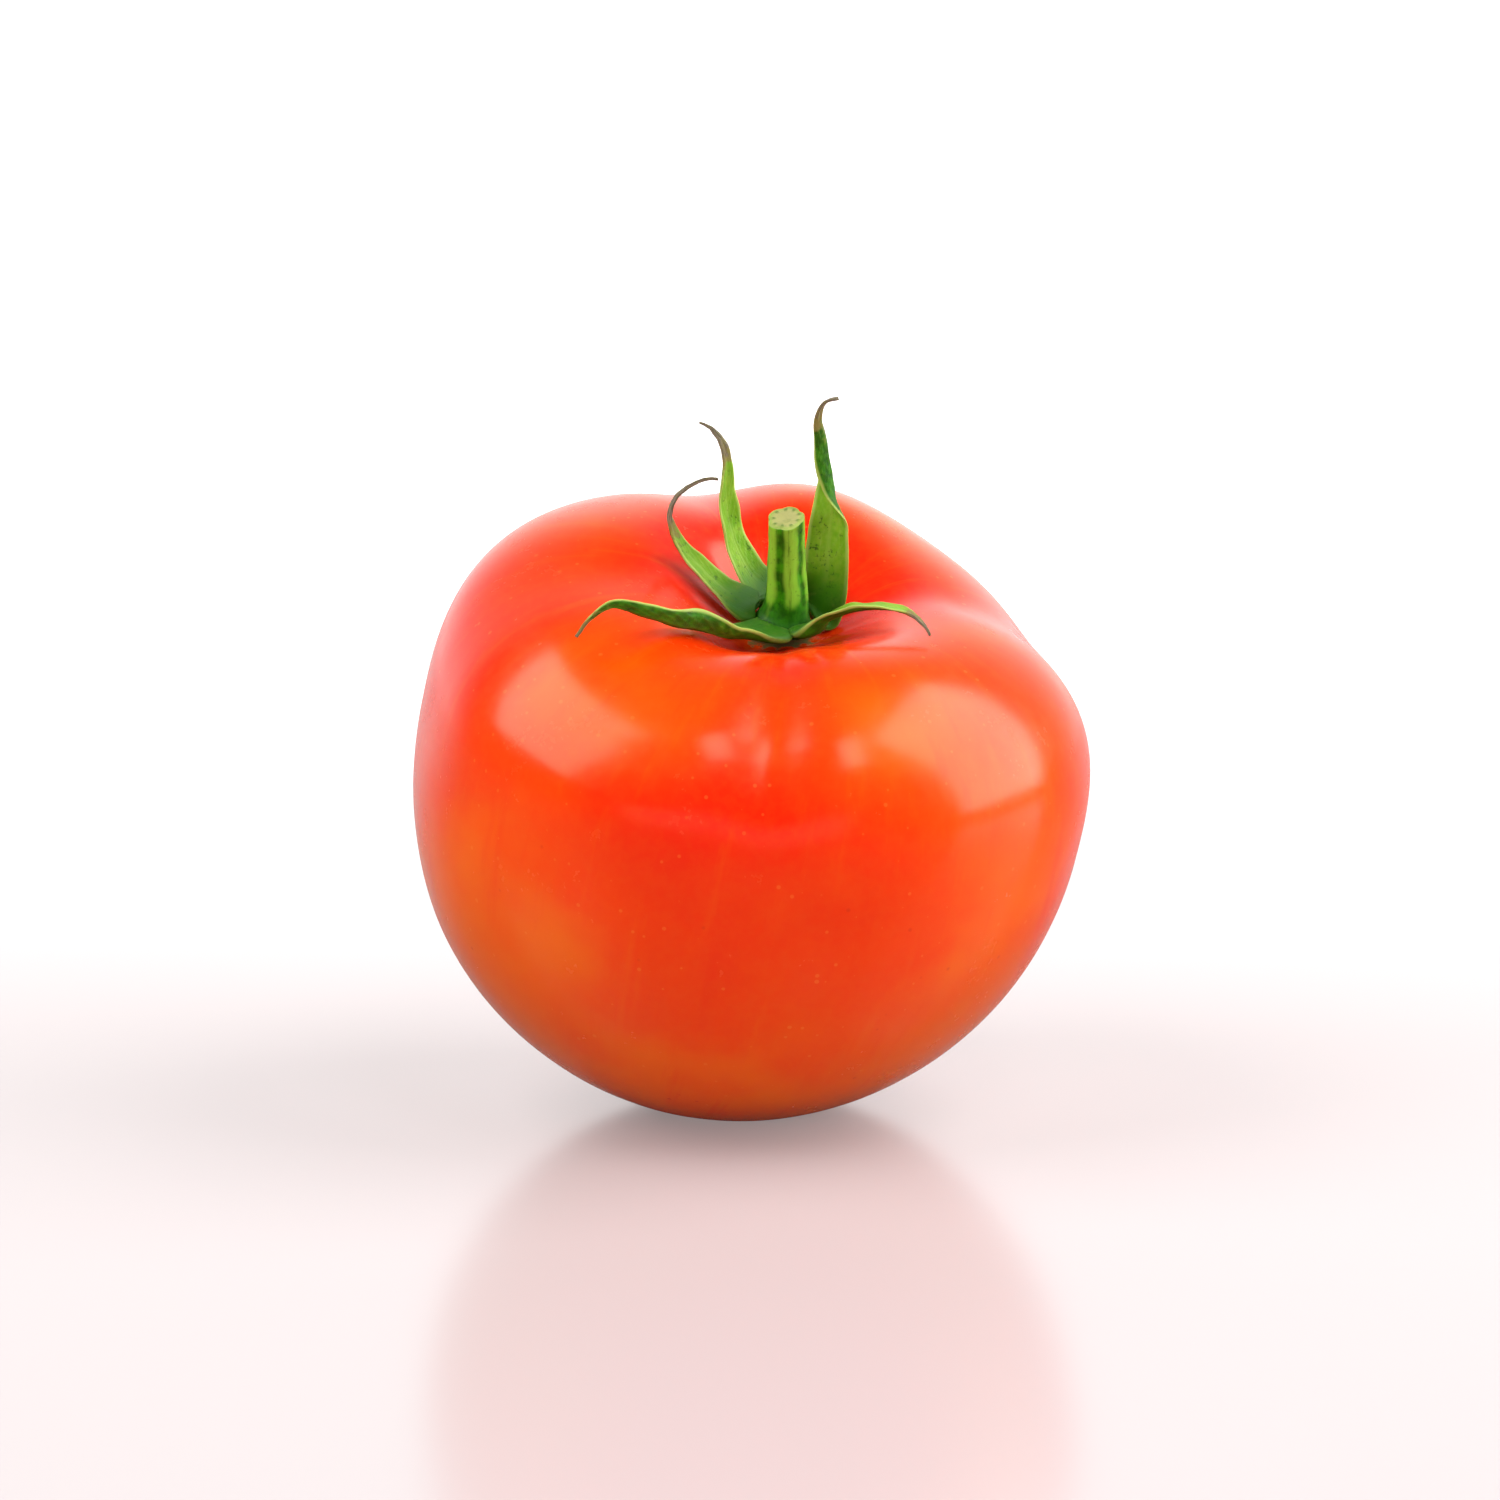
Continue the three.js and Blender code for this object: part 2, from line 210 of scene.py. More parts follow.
def mark(tree, name, vector=False):
    """A mark of the mesh, as a number or a vector."""
    return add(tree, "ShaderNodeAttribute", attribute_name=name).outputs["Vector" if vector else "Fac"]


def blend(tree, share, first, second):
    """Two colours blended by a share."""
    inputs = {0: share, 6: first, 7: second}
    return add(tree, "ShaderNodeMix", inputs, data_type="RGBA").outputs[2]


def maths(tree, operation, first, second=0.0, clamp=False):
    """One sum of two numbers."""
    settings = {"operation": operation, "use_clamp": clamp}
    return add(tree, "ShaderNodeMath", {0: first, 1: second}, **settings).outputs[0]


def times(tree, first, second, clamp=False):
    """Two numbers multiplied."""
    return maths(tree, "MULTIPLY", first, second, clamp)


def plus(tree, first, second, clamp=False):
    """Two numbers added."""
    return maths(tree, "ADD", first, second, clamp)


def without(tree, value):
    """What is left of one when a number is taken from it."""
    return maths(tree, "SUBTRACT", 1.0, value)


def between(tree, value, low, high, start=0.0, end=1.0):
    """A number eased from start to end as the value goes from low to high."""
    inputs = {"Value": value, "From Min": low, "From Max": high, "To Min": start, "To Max": end}
    return add(tree, "ShaderNodeMapRange", inputs, interpolation_type="SMOOTHSTEP").outputs[0]


def cloud(tree, place, scale, detail=2.0, roughness=0.5):
    """Soft random patches, as a number about a half."""
    inputs = {"Vector": place, "Scale": scale, "Detail": detail, "Roughness": roughness}
    return add(tree, "ShaderNodeTexNoise", inputs).outputs["Fac"]


CALYX_SHADE_RED = (0.45, 0.005, 0.0005, 1)
RIPE_RED = (0.70, 0.011, 0.0005, 1)
WARM_RED = (0.74, 0.040, 0.0006, 1)
ORANGE_RED = (0.75, 0.105, 0.001, 1)
GOLD_FLECK = (0.86, 0.30, 0.06, 1)
DARK_FLECK = (0.45, 0.012, 0.003, 1)
CORK_BROWN = (0.16, 0.075, 0.025, 1)
CORK_GREEN = (0.09, 0.10, 0.02, 1)
# How warm the red turns on the lower body, the shoulder and the two front sides; on the front sides the
# warmth is painted light, where the side lamps fall on the skin.
LOWER_WARMTH, SHOULDER_WARMTH, PAINTED_SIDE_LIGHT = 0.55, 0.62, 0.4
SHOULDER_SPARED = 0.85
FURROW_SHADE = 0.55
# How many patches, streaks and so on there are to a millimetre.
PATCH_SCALE, STREAK_SCALE, MOTTLE_SCALE, FLECK_SCALE, PIT_SCALE = 0.045, 3.2, 0.9, 0.62, 0.21
CORK_SCALE, BLOOM_SCALE, GRAIN_SCALE = 1.6, 0.12, 2.6
FLECK_SIZE, FLECK_SHOWS, PIT_SHOWS = 0.17, 0.14, 0.35
SKIN_ROUGHNESS, BLOOM_ROUGHNESS, CORK_ROUGHNESS = 0.19, 0.07, 0.6
GRAIN_HEIGHT, FLECK_HEIGHT, PIT_HEIGHT, STREAK_HEIGHT, CORK_HEIGHT = 0.35, 0.12, 0.5, 0.5, 5.0
SKIN_BUMP, SKIN_BUMP_DISTANCE = 0.22, 0.04 * MM
WAX_WEIGHT = 0.09

skin, tree, shader = new_material("tomato_skin")
place = mark(tree, "place", vector=True)
way = mark(tree, "way")
from_stem = mark(tree, "from_stem")
side = mark(tree, "side")
patches = cloud(tree, place, PATCH_SCALE, 3)
lower = between(tree, way, 0.62, 0.34)
shoulder = times(tree, between(tree, way, 0.6, 0.74), between(tree, from_stem, 14, 25))
shoulder = times(tree, shoulder, without(tree, times(tree, side, SHOULDER_SPARED)))
warm = plus(tree, times(tree, lower, LOWER_WARMTH), times(tree, shoulder, SHOULDER_WARMTH))
# Painted light: a warmer orange on the two front sides, where the side lamps light and glance off the
# skin.
warm = plus(tree, warm, times(tree, side, PAINTED_SIDE_LIGHT))
warm = plus(tree, warm, between(tree, patches, 0.3, 0.75, -0.1, 0.3), clamp=True)
# Painted shade: the red turns deeper and less orange down in the furrows.
furrow = between(tree, mark(tree, "furrow"), 0.15, 0.8)
warm = times(tree, warm, without(tree, times(tree, furrow, FURROW_SHADE)), clamp=True)
colour = blend(tree, between(tree, warm, 0.0, 0.5), RIPE_RED, WARM_RED)
colour = blend(tree, between(tree, warm, 0.45, 1.0), colour, ORANGE_RED)
streaks = cloud(tree, mark(tree, "streak_place", vector=True), STREAK_SCALE, 4, 0.6)
colour = blend(tree, between(tree, streaks, 0.52, 0.75, 0.0, 0.2), colour, ORANGE_RED)
colour = blend(tree, between(tree, streaks, 0.46, 0.28, 0.0, 0.2), colour, RIPE_RED)
mottle = cloud(tree, place, MOTTLE_SCALE, 4, 0.62)
colour = blend(tree, between(tree, mottle, 0.35, 0.7, 0.0, 0.07), colour, ORANGE_RED)
flecks = add(tree, "ShaderNodeTexVoronoi", {"Vector": place, "Scale": FLECK_SCALE})
fleck_size = add(tree, "ShaderNodeSeparateColor", {"Color": flecks.outputs["Color"]}).outputs[0]
fleck_edge = times(tree, maths(tree, "POWER", fleck_size, 2.0), FLECK_SIZE)
past_edge = maths(tree, "SUBTRACT", flecks.outputs["Distance"], fleck_edge)
fleck = between(tree, past_edge, 0.035, -0.03)
colour = blend(tree, times(tree, fleck, FLECK_SHOWS), colour, GOLD_FLECK)
pits = add(tree, "ShaderNodeTexVoronoi", {"Vector": place, "Scale": PIT_SCALE})
pit = between(tree, pits.outputs["Distance"], 0.075, 0.02)
colour = blend(tree, times(tree, pit, PIT_SHOWS), colour, DARK_FLECK)
# Painted shade: the skin turns deep red near the stem, in the cavity and under the sepals.
colour = blend(tree, between(tree, from_stem, 15, 6, 0.0, 0.7), colour, CALYX_SHADE_RED)
ragged = plus(tree, from_stem, between(tree, mottle, 0.2, 0.8, -1.2, 1.2))
cork = between(tree, ragged, CORK_RADIUS + 0.5, CORK_RADIUS - 0.3)
pale_collar = between(tree, ragged, CORK_RADIUS + 3.2, CORK_RADIUS + 0.2, 0.0, 0.35)
colour = blend(tree, pale_collar, colour, ORANGE_RED)
cork_patches = cloud(tree, place, CORK_SCALE, 4, 0.7)
cork_colour = blend(tree, between(tree, cork_patches, 0.35, 0.65), CORK_BROWN, CORK_GREEN)
scar = between(tree, mark(tree, "from_blossom"), SCAR_RADIUS, SCAR_RADIUS * 0.7)
corky = maths(tree, "MAXIMUM", cork, scar)
colour = blend(tree, corky, colour, cork_colour)
tree.links.new(colour, shader.inputs["Base Color"])
bloom_patches = cloud(tree, place, BLOOM_SCALE, 4, 0.6)
rough = plus(tree, SKIN_ROUGHNESS, between(tree, bloom_patches, 0.35, 0.75, 0.0, BLOOM_ROUGHNESS))
rough = plus(tree, rough, between(tree, mottle, 0.3, 0.7, -0.02, 0.04))
rough = plus(tree, rough, times(tree, corky, CORK_ROUGHNESS), clamp=True)
tree.links.new(rough, shader.inputs["Roughness"])
grain = cloud(tree, place, GRAIN_SCALE, 3, 0.55)
height = plus(tree, times(tree, grain, GRAIN_HEIGHT), times(tree, fleck, FLECK_HEIGHT))
height = maths(tree, "SUBTRACT", height, times(tree, pit, PIT_HEIGHT))
height = plus(tree, height, times(tree, streaks, STREAK_HEIGHT))
height = plus(tree, height, times(tree, times(tree, cork, mottle), CORK_HEIGHT))
bump_inputs = {"Height": height, "Strength": SKIN_BUMP, "Distance": SKIN_BUMP_DISTANCE}
bump = add(tree, "ShaderNodeBump", bump_inputs)
tree.links.new(bump.outputs["Normal"], shader.inputs["Normal"])
tree.links.new(times(tree, without(tree, corky), WAX_WEIGHT), shader.inputs["Coat Weight"])
shader.inputs["Coat Roughness"].default_value = 0.12
shader.inputs["Coat IOR"].default_value = 1.35
shader.inputs["IOR"].default_value = 1.42
shader.inputs["Specular Tint"].default_value = (1.0, 0.83, 0.58, 1)
shader.inputs["Subsurface Weight"].default_value = 0.12
shader.inputs["Subsurface Radius"].default_value = (1.0, 0.12, 0.05)
shader.inputs["Subsurface Scale"].default_value = 3 * MM

# The rings gather towards the cavity and the scar, which have the finest shapes.
even = np.linspace(0, 1, FRUIT_RINGS + 1)[1:-1]
ring_t = np.where(even < 0.5, (math.pi / 2) * (2 * even) ** 1.25,
                  math.pi - (math.pi / 2) * np.abs(2 - 2 * even) ** 1.5)
column_azimuth = np.linspace(0, 360, FRUIT_COLUMNS, endpoint=False)
t, azimuth = (grid.ravel() for grid in np.meshgrid(ring_t, column_azimuth, indexing="ij"))
t = np.concatenate([t, [1e-4, math.pi - 1e-4]])
azimuth = np.concatenate([azimuth, [0, 0]])
own = skin_point(t, azimuth)
out = np.hypot(own[:, 0], own[:, 1])
upper = t > math.pi / 2
uneven = SWELL * roughly(own, SWELL_SIZE) + DIMPLE * roughly(own + ELSEWHERE, DIMPLE_SIZE)
own = own * (1 + uneven)[:, None]
way = t / math.pi
crease = CREASE_DEPTH * bell(azimuth, CREASE_AZIMUTH, CREASE_WIDTH) * smooth(way, 0.56, 0.7)
own = own * (1 - crease * smooth(out, 4, 12))[:, None]
fold = 0.5 + 0.5 * np.cos(np.radians(azimuth) * FOLD_COUNT + 2.5 * roughly(own, 9))
folded = FOLD_DEPTH * fold * np.exp(-(((out - FOLD_RADIUS) / FOLD_REACH) ** 2))
own[:, 2] -= np.where(upper, folded, 0)
cork_edge = out + 0.8 * roughly(own, 1.5)
cork_rise = CORK_RISE * smooth(cork_edge, CORK_RADIUS + 0.5, CORK_RADIUS - 0.4)
own[:, 2] += np.where(upper, cork_rise, 0)
star = 0.6 + 0.4 * np.cos(np.radians(azimuth) * 5)
own[:, 2] += np.where(upper, 0, SCAR_DEPTH * star * smooth(out, SCAR_RADIUS, 0.3))
points = on_floor(own)
points[:, 2] = np.maximum(points[:, 2], 0)
furrowed = sum(depth * bell(azimuth, centre, width) for centre, depth, width in FURROWS)
angle = np.radians(azimuth)
marks = {
    "place": own,
    "streak_place": np.stack([4 * np.cos(angle), 4 * np.sin(angle), 1.6 * t / math.pi], -1),
    "way": way,
    "from_stem": np.where(upper, out, FAR),
    "from_blossom": np.where(upper, FAR, out),
    "furrow": furrowed / DEEPEST_FURROW * smooth(way, 0.3, 0.7),
    "side": np.maximum(*(bell(azimuth, centre, FRONT_SIDE_WIDTH) for centre in FRONT_SIDES)),
}
faces = []
for ring in range(len(ring_t) - 1):
    for column in range(FRUIT_COLUMNS):
        following = (column + 1) % FRUIT_COLUMNS
        low, high = ring * FRUIT_COLUMNS, (ring + 1) * FRUIT_COLUMNS
        faces.append((low + column, low + following, high + following, high + column))
bottom_pole, top_pole = len(t) - 2, len(t) - 1
last = (len(ring_t) - 1) * FRUIT_COLUMNS
for column in range(FRUIT_COLUMNS):
    following = (column + 1) % FRUIT_COLUMNS
    faces.append((bottom_pole, following, column))
    faces.append((top_pole, last + column, last + following))
fruit = make_piece("tomato_fruit", points, faces, marks, skin)
stand_in(fruit, "fruit")

# ---------------------------------------------------------------- stem
# The stub of green stem left on when the fruit was cut from the vine. It is
# ribbed and faintly hairy, swells into the receptacle that carries the sepals,
# and shows a ring of fibre bundles round the pale pith where it was cut.
CALYX_OFFSET = 0.4
CLEARANCE = 0.3
STEM_HEIGHT = 15.8
STEM_ROUTE = [(0.2, -0.2, 0.3), (-0.9, -1.0, 0.65), (-2.0, -2.0, 1.0)]
RECEPTACLE_RADIUS = 3.6
# Share of the way up, and the radius there.
STEM_OUTLINE = [(0, 1.3), (0.05, 3.0), (0.08, 3.6), (0.13, 3.5), (0.17, 2.85),
                (0.26, 2.55), (0.5, 2.3), (0.8, 2.1), (1, 2.12)]
STEM_RIBS = 5
STEM_RIB_DEPTH = 0.26
STEM_COLUMNS = 72
STEM_RINGS = 110
CUT_RINGS = 14
CUT_SLOPE = math.tan(math.radians(12))
BUNDLES = 9
BUNDLE_SHARE = 0.72
PITH_DIP = 0.22


def path_through(points, count):
    """Even steps along a smooth curve through the points, with the turning frame at each."""
    points = np.asarray(points, float)
    padded = np.vstack([2 * points[0] - points[1], points, 2 * points[-1] - points[-2]])
    dense = []
    for p0, p1, p2, p3 in zip(padded, padded[1:], padded[2:], padded[3:]):
        a, b, c = (math.sqrt(np.linalg.norm(q)) for q in (p1 - p0, p2 - p1, p3 - p2))
        leaving = b * ((p1 - p0) / a - (p2 - p0) / (a + b) + (p2 - p1) / b)
        arriving = b * ((p2 - p1) / b - (p3 - p1) / (b + c) + (p3 - p2) / c)
        s = np.linspace(0, 1, 60, endpoint=False)[:, None]
        dense.append((2 * s**3 - 3 * s**2 + 1) * p1 + (s**3 - 2 * s**2 + s) * leaving
                     + (3 * s**2 - 2 * s**3) * p2 + (s**3 - s**2) * arriving)
    dense = np.vstack(dense + [points[-1:]])
    gone = np.concatenate([[0], np.cumsum(np.linalg.norm(np.diff(dense, axis=0), axis=1))])
    even_steps = np.linspace(0, gone[-1], count)
    middle = np.stack([np.interp(even_steps, gone, dense[:, k]) for k in range(3)], -1)
    ahead = np.gradient(middle, axis=0)
    ahead /= np.linalg.norm(ahead, axis=1, keepdims=True)
    side = np.zeros_like(ahead)
    turning = np.cross(ahead[0], (0, 0, 1))
    for i, direction in enumerate(ahead):
        turning = turning - turning.dot(direction) * direction
        turning /= np.linalg.norm(turning)
        side[i] = turning
    return middle, side, np.cross(side, ahead), ahead


def tube_faces(rings, columns):
    """Faces of a closed tube whose vertices run ring by ring."""
    made = []
    for ring in range(rings - 1):
        for column in range(columns):
            following = (column + 1) % columns
            low, high = ring * columns, (ring + 1) * columns
            made.append((low + column, low + following, high + following, high + column))
    return made


STEM_GREEN = (0.035, 0.22, 0.001, 1)
STEM_DARK = (0.008, 0.065, 0.0005, 1)
STEM_PALE = (0.26, 0.52, 0.04, 1)
CUT_PITH = (0.33, 0.32, 0.11, 1)
CUT_RIM = (0.27, 0.34, 0.07, 1)
CUT_BUNDLE = (0.10, 0.16, 0.03, 1)


# How many patches there are to a metre, and how high each kind of mark stands.
PLANT_MOTTLE_SCALE, PLANT_SPECK_SCALE, PLANT_PATCH_SCALE = 700, 1900, 420
FIBRE_HEIGHT, MOTTLE_HEIGHT, SPECK_HEIGHT = 0.7, 0.6, 0.25


def plant_surface():
    """Green plant skin: soft mottling, dark specks and fine lengthwise fibres."""
    group = bpy.data.node_groups.new("plant_surface", "ShaderNodeTree")
    for name in ("Place", "Grain place"):
        group.interface.new_socket(name, in_out="INPUT", socket_type="NodeSocketVector")
    for name in ("Mottle", "Specks", "Fibres", "Height"):
        group.interface.new_socket(name, in_out="OUTPUT", socket_type="NodeSocketFloat")
    given = group.nodes.new("NodeGroupInput")
    result = group.nodes.new("NodeGroupOutput")
    place, grain_place = given.outputs["Place"], given.outputs["Grain place"]
    mottle = cloud(group, place, PLANT_MOTTLE_SCALE, 3, 0.6)
    specks = between(group, cloud(group, place, PLANT_SPECK_SCALE, 3, 0.65), 0.56, 0.68)
    patch = between(group, cloud(group, place, PLANT_PATCH_SCALE, 2), 0.42, 0.6)
    specks = times(group, specks, patch)
    fibres = cloud(group, grain_place, 1.0, 4, 0.65)
    height = plus(group, times(group, fibres, FIBRE_HEIGHT), times(group, mottle, MOTTLE_HEIGHT))
    height = maths(group, "SUBTRACT", height, times(group, specks, SPECK_HEIGHT))
    made = {"Mottle": mottle, "Specks": specks, "Fibres": fibres, "Height": height}
    for name, value in made.items():
        group.links.new(value, result.inputs[name])
    return group


PLANT_SURFACE = plant_surface()


def add_plant_surface(tree, grain_place):
    """The shared plant skin in one material's tree."""
    place = add(tree, "ShaderNodeTexCoord").outputs["Object"]
    made = tree.nodes.new("ShaderNodeGroup")
    made.node_tree = PLANT_SURFACE
    tree.links.new(place, made.inputs["Place"])
    tree.links.new(grain_place, made.inputs["Grain place"])
    return made.outputs


STEM_ROUGHNESS = 0.42
STEM_BUMP, PLANT_BUMP_DISTANCE = 0.7, 0.12 * MM
PLANT_GLOSS = 0.2

stalk, tree, shader = new_material("green_stem")
surface = add_plant_surface(tree, mark(tree, "grain_place", vector=True))
mottle, fibres = surface["Mottle"], surface["Fibres"]
along = mark(tree, "along")
colour = blend(tree, between(tree, mottle, 0.35, 0.68), STEM_DARK, STEM_GREEN)
colour = blend(tree, between(tree, mark(tree, "rib"), 0.35, 0.95, 0.0, 0.72), colour, STEM_PALE)
colour = blend(tree, between(tree, fibres, 0.5, 0.75, 0.0, 0.5), colour, STEM_PALE)
colour = blend(tree, between(tree, fibres, 0.45, 0.3, 0.0, 0.6), colour, STEM_DARK)
# Painted shade: the stem darkens towards its foot, in the hollow among the sepals.
colour = blend(tree, between(tree, along, 0.42, 0.12, 0.0, 0.85), colour, STEM_DARK)
colour = blend(tree, times(tree, surface["Specks"], 0.5), colour, STEM_DARK)
cut = mark(tree, "cut")
cut_colour = blend(tree, between(tree, mark(tree, "disc"), 0.62, 0.9), CUT_PITH, CUT_RIM)
cut_colour = blend(tree, mark(tree, "bundle"), cut_colour, CUT_BUNDLE)
cut_colour = blend(tree, between(tree, mottle, 0.45, 0.7, 0.0, 0.35), cut_colour, CUT_BUNDLE)
colour = blend(tree, cut, colour, cut_colour)
tree.links.new(colour, shader.inputs["Base Color"])
rough = plus(tree, STEM_ROUGHNESS, between(tree, mottle, 0.3, 0.7, 0.0, 0.15))
tree.links.new(plus(tree, rough, times(tree, cut, 0.15)), shader.inputs["Roughness"])
bump_inputs = {"Height": surface["Height"], "Strength": STEM_BUMP, "Distance": PLANT_BUMP_DISTANCE}
bump = add(tree, "ShaderNodeBump", bump_inputs)
tree.links.new(bump.outputs["Normal"], shader.inputs["Normal"])
shader.inputs["Subsurface Weight"].default_value = 0.12
shader.inputs["Subsurface Radius"].default_value = (0.5, 0.8, 0.15)
shader.inputs["Subsurface Scale"].default_value = 1 * MM
shader.inputs["Specular IOR Level"].default_value = PLANT_GLOSS

cavity_floor = skin_height(0, 0)
route = [(CALYX_OFFSET, 0, cavity_floor + 2 * CLEARANCE)]
route += [(x, y, cavity_floor + share * STEM_HEIGHT) for x, y, share in STEM_ROUTE]
middle, side, face, ahead = path_through(route, STEM_RINGS)
u = np.linspace(0, 1, STEM_RINGS)
outline_u, outline_r = zip(*STEM_OUTLINE)
radius = np.interp(u, outline_u, outline_r)
radius = np.convolve(np.pad(radius, 4, mode="edge"), np.ones(9) / 9, mode="valid")
angle = np.linspace(0, 2 * math.pi, STEM_COLUMNS, endpoint=False)
uu, aa = np.meshgrid(u, angle, indexing="ij")
waver = roughly(np.stack([2.2 * np.cos(aa), 2.2 * np.sin(aa), 6 * uu], -1), 1.0).reshape(uu.shape)
crest = np.abs(np.cos(aa * STEM_RIBS / 2 + 0.35 * waver + 0.4)) ** 0.7
ribbing = smooth(uu, 0.2, 0.38)
wide = radius[:, None] - STEM_RIB_DEPTH * (1 - crest) * ribbing + 0.07 * waver
wide = wide * (1 + 0.05 * np.cos(2 * aa + 0.6) * ribbing)
slant = CUT_SLOPE * np.sin(aa) * wide * smooth(uu, 0.75, 1)
tube = (middle[:, None] + side[:, None] * (wide * np.cos(aa))[..., None]
        + face[:, None] * (wide * np.sin(aa))[..., None] + ahead[:, None] * slant[..., None])
own = tube.reshape(-1, 3)
marks = {"along": uu.ravel(), "rib": (crest * ribbing).ravel(), "cut": np.zeros(uu.size),
         "disc": np.ones(uu.size), "bundle": np.zeros(uu.size),
         "grain_place": np.stack([3.2 * np.cos(aa), 3.2 * np.sin(aa), 2.2 * uu], -1).reshape(-1, 3)}
faces = tube_faces(STEM_RINGS, STEM_COLUMNS)
first_cut = (STEM_RINGS - 1) * STEM_COLUMNS
disc_shares = np.linspace(0.985, 0, CUT_RINGS + 1)[:-1]
rr, ca = np.meshgrid(disc_shares, angle, indexing="ij")
edge = wide[-1][None, :] * rr
bundle = np.exp(-(((rr - BUNDLE_SHARE) / 0.1) ** 2)) * smooth(np.cos(ca * BUNDLES), 0.0, 0.8)
disc_place = np.stack([rr * np.cos(ca), rr * np.sin(ca), 0 * rr], -1)
lift = (0.1 * smooth(rr, 1.0, 0.9) + 0.1 * bundle - PITH_DIP * smooth(rr, 0.6, 0.1)
        + 0.05 * roughly(disc_place, 0.25).reshape(rr.shape))
disc_points = (middle[-1] + side[-1] * (edge * np.cos(ca))[..., None]
               + face[-1] * (edge * np.sin(ca))[..., None]
               + ahead[-1] * (CUT_SLOPE * np.sin(ca) * edge + lift)[..., None])
heart = middle[-1] - PITH_DIP * ahead[-1]
own = np.vstack([own, disc_points.reshape(-1, 3), heart, middle[0] - 0.1 * ahead[0]])
none, whole = np.zeros(rr.size), np.ones(rr.size)
for key, values, centre in (("along", whole, 1), ("rib", none, 0), ("cut", whole, 1),
                            ("disc", rr.ravel(), 0), ("bundle", bundle.ravel(), 0)):
    marks[key] = np.concatenate([marks[key], values, [centre], [0]])
cut_grain = np.stack([9 * rr * np.cos(ca), 9 * rr * np.sin(ca), 0 * rr], -1).reshape(-1, 3)
marks["grain_place"] = np.vstack([marks["grain_place"], cut_grain, np.zeros((2, 3))])
faces += [tuple(first_cut + k for k in f) for f in tube_faces(CUT_RINGS + 1, STEM_COLUMNS)]
last = first_cut + CUT_RINGS * STEM_COLUMNS
for column in range(STEM_COLUMNS):
    following = (column + 1) % STEM_COLUMNS
    faces.append((last + column, last + following, len(own) - 2))
    faces.append((following, column, len(own) - 1))
stem = make_piece("tomato_stem", on_floor(own), faces, marks, stalk)
stand_in(stem, "stem")

# ---------------------------------------------------------------- sepals
# The five leafy sepals of the flower, still green and drying from the tips. All
# grow from the receptacle, fleshy at the foot and thin in the blade, each with a
# midrib; some have dried upright or curled, others lie on the skin.
SEPAL_FOOT_HEIGHT = 2.1
SEPAL_FOOT_SHARE = 0.2
SEPAL_FOOT_FLARE = 0.4
SEPAL_WEB = 1.3
SEPAL_COLUMNS = 25
SEPAL_RINGS = 130
SEPAL_FOOT_THICKNESS = 1.7
SEPAL_BLADE_THICKNESS = 0.62
SEPAL_MARGIN_WAVE = 0.16
SEPAL_RIB_RISE = 0.2
SEPAL_GROOVE_RISE = 0.12
SEPAL_NERVE_RISE = 0.03
SEPAL_GAP_ANGLE = 1.2
# Shrinking of the dried parts and softness of the rest, in millimetres.
SHRIVEL, DRY_SHRIVEL, SHRIVEL_SIZE = 0.015, 0.07, 0.9
SOFTNESS, SOFT_SIZE = 0.1, 2.6
# Name, azimuth, width, taper, how far the foot spreads to either side (degrees),
# where it starts to dry, tint, then the route as [right of the foot, back of the
# foot, height over the skin], and the curl and twist from foot to tip in degrees.
SEPALS = [
    ("front_left", 252, 5.2, 2.2, (32, 35), 0.86, 0.35,
     [(-2.7, -3, 2), (-5.3, -6.1, 1.6), (-8.4, -9.3, 1.5), (-11.3, -11.7, 2), (-14.7, -14, 3.6),
      (-18.3, -15.3, 5.2), (-20.6, -15.8, 4.2), (-21.8, -15.9, 2)],
     (20, 45, 60, 45, 20), (5, -20, -48, -40, -10)),
    ("front_right", 318, 4.6, 1.5, (40, 32), 0.72, 0.6,
     [(1.9, -1.3, 3.4), (4.2, -2.1, 3.9), (6.8, -2.9, 3.6), (9.3, -4.1, 3), (11.2, -5.4, 2.3),
      (12.6, -6.9, 1.6), (13.3, -8.1, 1)],
     (15, 30, 30, 25, 10), (-6, -10, -10, -8, 0)),
    ("right_upright", 40, 5.7, 2.4, (38, 40), 0.8, 0.7,
     [(0.9, 0.5, 3.6), (0.9, 0.4, 6.4), (0.5, 0.2, 9.6), (0.1, 0, 12.8), (-0.4, -0.6, 17),
      (-1.6, -1.5, 21.4), (-3.0, -2.4, 25.2), (-4.0, -3.1, 28.2), (-3.8, -3.3, 30.2), (-2.5, -3.3, 31)],
     (25, 30, 40, 75, 80, 60), (-30, -48, -42, 30, 70, 60)),
    ("back_left", 118, 4.8, 1.6, (30, 38), 0.7, 0.75,
     [(-2.9, 1.1, 3.1), (-5.4, 1.7, 4.7), (-6.9, 2.1, 6.7), (-7.9, 2.3, 9.4), (-8.6, 2, 13.2),
      (-9.5, 2, 14.9), (-11, 2.3, 15.5), (-12.5, 3, 15)],
     (20, 40, 45, 50, 20), (0, 0, 0, 0, 0)),
    ("left_curled", 181, 4.6, 0.9, (34, 30), 0.5, 0.65,
     [(-3.4, 0.5, 1.9), (-6.5, 1.1, 1.8), (-9, 1.5, 2.2), (-10.5, 1.5, 3.3), (-11.6, 1.4, 5.2),
      (-11.4, 1.2, 8), (-10.1, 0.8, 10.4), (-8.2, 0.3, 12.8), (-7.2, -0.1, 13.7)],
     (20, 40, 50, 30, 0), (20, 30, 20, 0, 0)),
]

